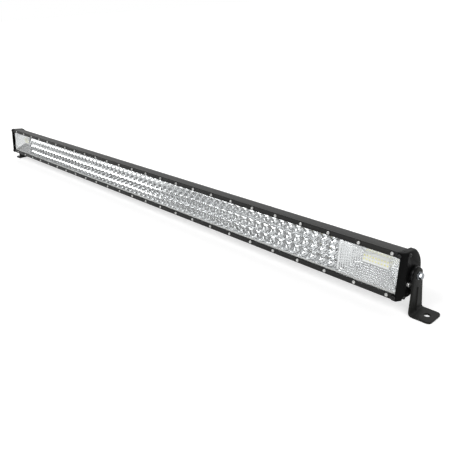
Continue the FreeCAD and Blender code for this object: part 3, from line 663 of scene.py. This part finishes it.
bolt_low, bolt_high = size_of("right_pivot_bolt")
washer_low, washer_high = size_of("right_spring_washer")
bolt_depth = (washer_low.y + washer_high.y) / 2
flats = bolt_high.z - bolt_low.z
head_height = bolt_high.x - washer_high.x
bolt_head = make_bolt_head(flats, head_height)
BOLT_HOLE = 2.6 * MM                # radius, just over the bolt's shank
washer_radius = (washer_high.z - washer_low.z) / 2
spring = make_spring_washer(BOLT_HOLE, washer_radius, washer_high.x - washer_low.x)
for side, turn in (("right", Matrix()), ("left", Matrix.Rotation(math.pi, 4, "Z"))):
    sign = 1 if side == "right" else -1
    at_head = Matrix.Translation((sign * washer_high.x, bolt_depth, 0)) @ turn
    at_washer = Matrix.Translation((sign * washer_low.x, bolt_depth, 0)) @ turn
    steel_pieces.append(
        settle(copy_of(bolt_head, at_head), f"{side}_pivot_bolt_detail", "light_bar",
               [f"{side}_pivot_bolt"])
    )
    steel_pieces.append(
        settle(copy_of(spring, at_washer), f"{side}_spring_washer_detail", "light_bar",
               [f"{side}_spring_washer"])
    )
    steel_pieces.append(soft[f"{side}_flat_washer"])
bpy.data.objects.remove(bolt_head)
bpy.data.objects.remove(spring)

# %% Cable gland and breather
def make_gland_nut(low, high):
    """Twelve-sided nut behind the bar with a domed end and an opening for the cable."""
    start_piece()
    radius = (high.z - low.z) / 2
    length = high.y - low.y
    bpy.ops.mesh.primitive_cylinder_add(
        vertices=12, radius=radius, depth=length, location=(0, (low.y + high.y) / 2, 0),
        rotation=(math.pi / 2, 0, 0),
    )
    nut = bpy.context.object
    bpy.ops.object.transform_apply(location=True, rotation=True, scale=True)
    bpy.ops.object.mode_set(mode="EDIT")
    pick("faces", lambda f: f.normal.y > 0.99)
    bpy.ops.mesh.inset(thickness=0.29 * radius, depth=0.0)
    extrude((0, -length * 0.98, 0))
    pick("edges", lambda e: middle(e).y > high.y - 0.01 * MM
         and middle(e).xz.length > 0.9 * radius and len(e.link_faces) == 2)
    bpy.ops.mesh.bevel(offset=0.2 * radius, segments=4, profile=0.5)
    bpy.ops.object.mode_set(mode="OBJECT")
    bpy.ops.object.shade_smooth_by_angle(angle=math.radians(25))
    return nut


def make_breather(low, high):
    """Round cap with slots under its rim, on the outer side of the right end cap."""
    start_piece()
    radius = (high.z - low.z) / 2
    cap_face = size_of("right_end_cap")[1].x
    height = high.x - cap_face
    bpy.ops.mesh.primitive_cylinder_add(
        vertices=24, radius=radius, depth=height,
        location=((cap_face + high.x) / 2, (low.y + high.y) / 2, (low.z + high.z) / 2),
        rotation=(0, math.pi / 2, 0),
    )
    breather = bpy.context.object
    bpy.ops.object.transform_apply(location=True, rotation=True, scale=True)
    bpy.ops.object.mode_set(mode="EDIT")
    pick("edges", lambda e: middle(e).x > high.x - 0.01 * MM and len(e.link_faces) == 2)
    bpy.ops.mesh.bevel(offset=0.25 * radius, segments=3)
    sides = [f.index for f in bmesh.from_edit_mesh(breather.data).faces if abs(f.normal.x) < 0.1]
    slots = set(sorted(sides)[::4])
    pick("faces", lambda f: f.index in slots)
    bpy.ops.mesh.inset(use_individual=True, thickness=0.1 * radius, depth=-0.15 * radius)
    bpy.ops.object.mode_set(mode="OBJECT")
    bpy.ops.object.shade_smooth_by_angle(angle=math.radians(30))
    return breather


nut = settle(make_gland_nut(*size_of("cable_gland_nut")), "gland_nut_detail", "light_bar",
             ["cable_gland_nut"])
breather = settle(make_breather(*size_of("breather_vent")), "breather_detail", "light_bar",
                  ["breather_vent"])

# %% [markdown]
# ## Shared surface effects
# Two effects return in several finishes, so each is a node group. One is a fine grain, as in powder
# coat and moulded plastic. The other is the faint lines that drawing leaves along an extrusion.
# A group gives out only numbers and a normal. The shader stays in each material.

# %% Node groups
def new_group(name, inputs, outputs):
    group = bpy.data.node_groups.new(name, "ShaderNodeTree")
    for label, kind, default in inputs:
        socket = group.interface.new_socket(label, in_out="INPUT", socket_type=kind)
        socket.default_value = default
    for label, kind in outputs:
        group.interface.new_socket(label, in_out="OUTPUT", socket_type=kind)
    return group, group.nodes.new("NodeGroupInput"), group.nodes.new("NodeGroupOutput")


def add_node(tree, kind, links=None, **settings):
    """New node with its properties or input values set and its inputs linked."""
    node = tree.nodes.new(kind)
    for name, setting in settings.items():
        setattr(node, name, setting)
    for name, source in (links or {}).items():
        if isinstance(source, bpy.types.NodeSocket):
            tree.links.new(source, node.inputs[name])
        else:
            node.inputs[name].default_value = source
    return node


FLOAT = "NodeSocketFloat"


def surface_group(name, stretch_along):
    """Noise on the object's own coordinates that gives roughness, a shade and a bumped normal."""
    group, inside, outside = new_group(
        name,
        [("Scale", FLOAT, 900.0), ("Depth", FLOAT, 0.1), ("Roughness", FLOAT, 0.5),
         ("Variation", FLOAT, 0.1)],
        [("Roughness", FLOAT), ("Shade", FLOAT), ("Normal", "NodeSocketVector")],
    )
    place = add_node(group, "ShaderNodeTexCoord")
    mapped = add_node(group, "ShaderNodeMapping", {"Vector": place.outputs["Object"],
                                                    "Scale": (stretch_along, 1, 1)})
    fine = add_node(group, "ShaderNodeTexNoise", {
        "Vector": mapped.outputs["Vector"], "Scale": inside.outputs["Scale"], "Detail": 3.0})
    coarse = add_node(group, "ShaderNodeTexNoise", {
        "Vector": mapped.outputs["Vector"], "Scale": 14.0, "Detail": 4.0})
    spread_out = add_node(group, "ShaderNodeMath", {0: coarse.outputs["Fac"], 1: 0.5},
                          operation="SUBTRACT")
    wander = add_node(group, "ShaderNodeMath", {0: spread_out.outputs[0],
                                                1: inside.outputs["Variation"]},
                      operation="MULTIPLY")
    rough = add_node(group, "ShaderNodeMath", {0: wander.outputs[0],
                                               1: inside.outputs["Roughness"]},
                     operation="ADD", use_clamp=True)
    shade = add_node(group, "ShaderNodeMath", {0: wander.outputs[0], 1: 1.0}, operation="ADD")
    bump = add_node(group, "ShaderNodeBump", {
        "Height": fine.outputs["Fac"], "Strength": inside.outputs["Depth"],
        "Distance": 0.0002})
    group.links.new(rough.outputs[0], outside.inputs["Roughness"])
    group.links.new(shade.outputs[0], outside.inputs["Shade"])
    group.links.new(bump.outputs["Normal"], outside.inputs["Normal"])
    return group


GRAIN = surface_group("grain", 1.0)
DRAWN = surface_group("drawn_lines", 0.01)
print("node groups:", [group.name for group in bpy.data.node_groups])

# %% [markdown]
# ## Finishes
# Every finish is one Principled shader. Its base colour is multiplied by the group's shade, so that
# no surface is one flat colour, and its roughness and normal come from the same group.

# %% Painted, moulded and metal finishes
def new_material(name):
    material = bpy.data.materials.new(name)
    material.use_nodes = True
    return material, material.node_tree, material.node_tree.nodes["Principled BSDF"]


def finish_of(name, colour, roughness, metallic=0.0, group=None, scale=900.0, depth=0.15,
              variation=0.1, specular=0.5, coat=0.0):
    material, tree, shader = new_material(name)
    effect = add_node(tree, "ShaderNodeGroup", node_tree=group or GRAIN)
    for label, number in (("Scale", scale), ("Depth", depth), ("Roughness", roughness),
                          ("Variation", variation)):
        effect.inputs[label].default_value = number
    tint = add_node(tree, "ShaderNodeVectorMath", operation="SCALE")
    tint.inputs[0].default_value = colour
    tree.links.new(effect.outputs["Shade"], tint.inputs["Scale"])
    tree.links.new(tint.outputs[0], shader.inputs["Base Color"])
    tree.links.new(effect.outputs["Roughness"], shader.inputs["Roughness"])
    tree.links.new(effect.outputs["Normal"], shader.inputs["Normal"])
    shader.inputs["Metallic"].default_value = metallic
    shader.inputs["Specular IOR Level"].default_value = specular
    shader.inputs["Coat Weight"].default_value = coat
    shader.inputs["Coat Roughness"].default_value = 0.2
    return material


finishes = {
    "housing_finish": finish_of("housing_anodised", (0.022, 0.022, 0.021), 0.5, group=DRAWN,
                                scale=600, depth=0.5, variation=0.2, specular=0.14),
    "black_trim": finish_of("trim_black", (0.014, 0.014, 0.0135), 0.42, group=DRAWN,
                            scale=1200, depth=0.15, variation=0.15, specular=0.25),
    "cap_black": finish_of("cast_cap_black", (0.0032, 0.0033, 0.0034), 0.42, scale=1400, depth=0.2,
                           specular=0.06),
    "fastener_black": finish_of("fastener_black", (0.012, 0.012, 0.012), 0.3, scale=2000,
                                depth=0.1, specular=0.4),
    # Lens seal, near white: its colour is a painted highlight, a bright line along the lower edge of the lens
    # where the lit edge of the clear front shows.
    "seal_clear": finish_of("lens_seal_painted_edge_highlight", (0.80, 0.80, 0.79), 0.5, scale=1600,
                            depth=0.1, variation=0.05),
    "seal_rubber": finish_of("seal_rubber", (0.02, 0.02, 0.02), 0.7, scale=1600, depth=0.3),
    "board_white": finish_of("board_white_mask", (0.90, 0.90, 0.88), 0.45, scale=700, depth=0.05,
                             variation=0.05),
    "component_black": finish_of("component_black", (0.03, 0.03, 0.03), 0.5, depth=0.3),
    "gland_plastic": finish_of("gland_nylon", (0.022, 0.022, 0.022), 0.45, depth=0.3),
    "bright_steel": finish_of("bright_steel", (0.62, 0.62, 0.61), 0.3, metallic=1.0,
                              scale=2500, depth=0.1, variation=0.1),
    "bolt_steel": finish_of("bolt_steel", (0.33, 0.35, 0.37), 0.2, metallic=1.0, scale=2500,
                            depth=0.1, variation=0.1),
    "spacer_black": finish_of("spacer_black", (0.006, 0.006, 0.0065), 0.28, scale=1200,
                              depth=0.15, specular=0.2),
    "bracket_black": finish_of("bracket_powder_coat", (0.016, 0.0163, 0.0155), 0.46, scale=1100,
                               depth=0.35, variation=0.15, specular=0.10),
    "tray_coating": finish_of("tray_coating", (0.90, 0.905, 0.91), 0.15, metallic=0.9,
                              scale=2500, depth=0.01, variation=0.08),
    "reflector_chrome": finish_of("reflector_coating", (0.90, 0.905, 0.91), 0.12, metallic=0.97,
                                  scale=2500, depth=0.01, variation=0.08),
    "phosphor": finish_of("phosphor_pad", (0.95, 0.90, 0.36), 0.6, scale=3000, depth=0.2,
                          variation=0.06),
    "ceramic": finish_of("chip_ceramic", (0.88, 0.88, 0.85), 0.5, scale=2000, depth=0.1,
                         variation=0.04),
}
print(len(finishes), "finishes")

# %% [markdown]
# ## The clear front
# Polycarbonate 3 mm thick bends what lies behind it by less than anyone can see, so it is made of a
# transparent and a glossy shader, mixed by Fresnel. Light passes straight through, and the sheet
# still mirrors the room at a flat angle. Only its outer faces mirror: a ray that is not bent would
# meet the inner faces beyond the critical angle, and they would turn black.

# %% Clear lens
lens_finish = bpy.data.materials.new("lens_polycarbonate")
lens_finish.use_nodes = True
tree = lens_finish.node_tree
tree.nodes.remove(tree.nodes["Principled BSDF"])
through = add_node(tree, "ShaderNodeBsdfTransparent", {"Color": (0.985, 0.99, 0.99, 1)})
mirror = add_node(tree, "ShaderNodeBsdfGlossy", {"Color": (0.6, 0.6, 0.6, 1), "Roughness": 0.03})
edge_on = add_node(tree, "ShaderNodeFresnel", {"IOR": 1.45})
side_seen = add_node(tree, "ShaderNodeNewGeometry")
front_only = add_node(tree, "ShaderNodeMath", {0: 1.0, 1: side_seen.outputs["Backfacing"]},
                      operation="SUBTRACT")
share = add_node(tree, "ShaderNodeMath", {0: edge_on.outputs[0], 1: front_only.outputs[0]},
                 operation="MULTIPLY")
sheet = add_node(tree, "ShaderNodeMixShader", {
    0: share.outputs[0], 1: through.outputs[0], 2: mirror.outputs[0]})
tree.links.new(sheet.outputs[0], tree.nodes["Material Output"].inputs["Surface"])
finishes["lens_clear"] = lens_finish
print("lens:", lens_finish.name)

# %% [markdown]
# ## Giving out the finishes
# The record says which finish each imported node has. The detailed pieces take the finish of the node
# that they stand for.

# %% Assign materials
def coat(obj, finish):
    obj.data.materials.clear()
    obj.data.materials.append(finishes[finish])


slot_of = {part["node"]: part["material_slot"] for part in frame["record"]["subparts"]}
# The lens gasket takes seal_clear, whose near-white colour is a painted highlight along the lower edge of the
# lens.
for name, obj in nodes.items():
    coat(obj, slot_of[name] if slot_of[name] in finishes else "ceramic")
for name, obj in soft.items():
    coat(obj, slot_of[name])
for obj in reflectors:
    coat(obj, "tray_coating" if obj.name.startswith("tray") else "reflector_chrome")
for obj in steel_pieces:
    coat(obj, "bolt_steel" if "pivot" in obj.name or "washer" in obj.name else "bright_steel")
for obj in dark_screws:
    coat(obj, "fastener_black")
coat(nut, "gland_plastic")
coat(breather, "bright_steel")
for field in led_fields:
    coat(field, "ceramic")
    field.data.materials.append(finishes["phosphor"])
    faces = field.data.polygons
    front = min((ON_BAR.inverted() @ vertex.co).y for vertex in field.data.vertices)
    facing = (ON_BAR.to_3x3() @ Vector((0, -1, 0))).normalized()
    back = ON_BAR.inverted()
    for face in faces:
        sunk = 0.05 * MM < (back @ face.center).y - front < 0.3 * MM
        if face.normal.dot(facing) > 0.9 and sunk:
            face.material_index = 1
    print(field.name, sum(face.material_index for face in faces), "phosphor pads")

# %% [markdown]
# ## Floor, light and camera
# The bar stands on a plain pale floor in a studio with large soft lamps. The camera sees the floor
# and the room white. Mirrored in metal, the room is white behind the bar and dimmer in front of it,
# and the floor glows less, which gives the cups their contrast. The floor keeps the soft shadow.

# %% Floor and room
MIRRORED_FLOOR = 0.25               # share of the floor's glow that a mirror shows
MIRRORED_FRONT = 0.3                # level of the room in front of the bar, in a mirror


def seen_directly(tree):
    """1 for rays from the camera, a mirror or the clear front, 0 for rays of diffuse light."""
    path = add_node(tree, "ShaderNodeLightPath")
    either = add_node(tree, "ShaderNodeMath", {
        0: path.outputs["Is Camera Ray"], 1: path.outputs["Is Glossy Ray"]}, operation="MAXIMUM")
    each = add_node(tree, "ShaderNodeMath", {
        0: either.outputs[0], 1: path.outputs["Is Transmission Ray"]}, operation="MAXIMUM")
    return each.outputs[0]


start_piece()
bpy.ops.mesh.primitive_plane_add(size=60, location=(0, 0, 0))
floor = bpy.context.object
floor.name = "floor"
floor_finish, tree, shader = new_material("floor_white")
shader.inputs["Base Color"].default_value = (0.8, 0.8, 0.8, 1)
shader.inputs["Roughness"].default_value = 1.0
shader.inputs["Specular IOR Level"].default_value = 0.0
shader.inputs["Emission Color"].default_value = (1, 1, 1, 1)
place = add_node(tree, "ShaderNodeTexCoord")
distance = add_node(tree, "ShaderNodeVectorMath", {0: place.outputs["Object"]}, operation="LENGTH")
glow = add_node(tree, "ShaderNodeMapRange", {
    "Value": distance.outputs["Value"], "From Min": 0.6, "From Max": 4.0,
    "To Min": 0.4, "To Max": 1.0})
path = add_node(tree, "ShaderNodeLightPath")
share = add_node(tree, "ShaderNodeMapRange", {
    "Value": path.outputs["Is Camera Ray"], "To Min": MIRRORED_FLOOR, "To Max": 1.0})
seen = add_node(tree, "ShaderNodeMath", {0: seen_directly(tree), 1: share.outputs[0]},
                operation="MULTIPLY")
lift = add_node(tree, "ShaderNodeMath", {0: seen.outputs[0], 1: glow.outputs[0]},
                operation="MULTIPLY")
tree.links.new(lift.outputs[0], shader.inputs["Emission Strength"])
floor.data.materials.append(floor_finish)

world = bpy.data.worlds.new("studio")
bpy.context.scene.world = world
world.use_nodes = True
tree = world.node_tree
background = tree.nodes["Background"]
background.inputs["Color"].default_value = (1, 1, 1, 1)
path = add_node(tree, "ShaderNodeLightPath")
direction = add_node(tree, "ShaderNodeTexCoord")
parts = add_node(tree, "ShaderNodeSeparateXYZ", {0: direction.outputs["Generated"]})
backdrop = add_node(tree, "ShaderNodeMapRange", {
    "Value": parts.outputs["Y"], "From Min": -0.1, "From Max": 0.4, "To Min": MIRRORED_FRONT,
    "To Max": 1.0})
mirrored_room = add_node(tree, "ShaderNodeMath", {
    0: backdrop.outputs[0], 1: path.outputs["Is Camera Ray"]}, operation="MAXIMUM")
strength = add_node(tree, "ShaderNodeMix", {
    "Factor": seen_directly(tree), "A": 0.45, "B": mirrored_room.outputs[0]})
tree.links.new(strength.outputs[0], background.inputs["Strength"])
print("floor and room made")

# %% Lamps
def add_lamp(name, location, target, width, height, power):
    data = bpy.data.lights.new(name, "AREA")
    data.shape = "RECTANGLE"
    data.size = width
    data.size_y = height
    data.energy = power
    lamp = bpy.data.objects.new(name, data)
    bpy.context.scene.collection.objects.link(lamp)
    lamp.location = location
    lamp.rotation_euler = (Vector(target) - Vector(location)).to_track_quat("-Z", "Y").to_euler()
    return lamp


add_lamp("key", (-0.6, -2.2, 2.4), (0, 0, 0), 2.4, 1.2, 55)
add_lamp("fill", (2.2, -1.6, 1.4), (0.3, 0, 0), 1.6, 1.2, 18)
add_lamp("back", (0.2, 2.0, 2.6), (0, 0, 0), 2.6, 1.0, 22)

# %% [markdown]
# ## Camera
# The camera stands close to the right end, low in front of it, so that the bar runs away from it.

# %% Camera
camera_data = bpy.data.cameras.new("camera")
camera_data.lens = 41.86
camera_data.sensor_width = 36
camera_data.clip_end = 100
camera = bpy.data.objects.new("camera", camera_data)
bpy.context.scene.collection.objects.link(camera)
camera.location = (0.95546, -0.58814, 0.41386)
camera.rotation_euler = [math.radians(turn) for turn in (66.585, 3.842, 47.584)]
bpy.context.scene.camera = camera
bpy.context.scene.view_settings.view_transform = "Standard"
print("camera at", tuple(camera.location))

# %% [markdown]
# ## Last update
# The view layer is brought up to date at the end.

# %% Update the view layer
bpy.context.view_layer.update()
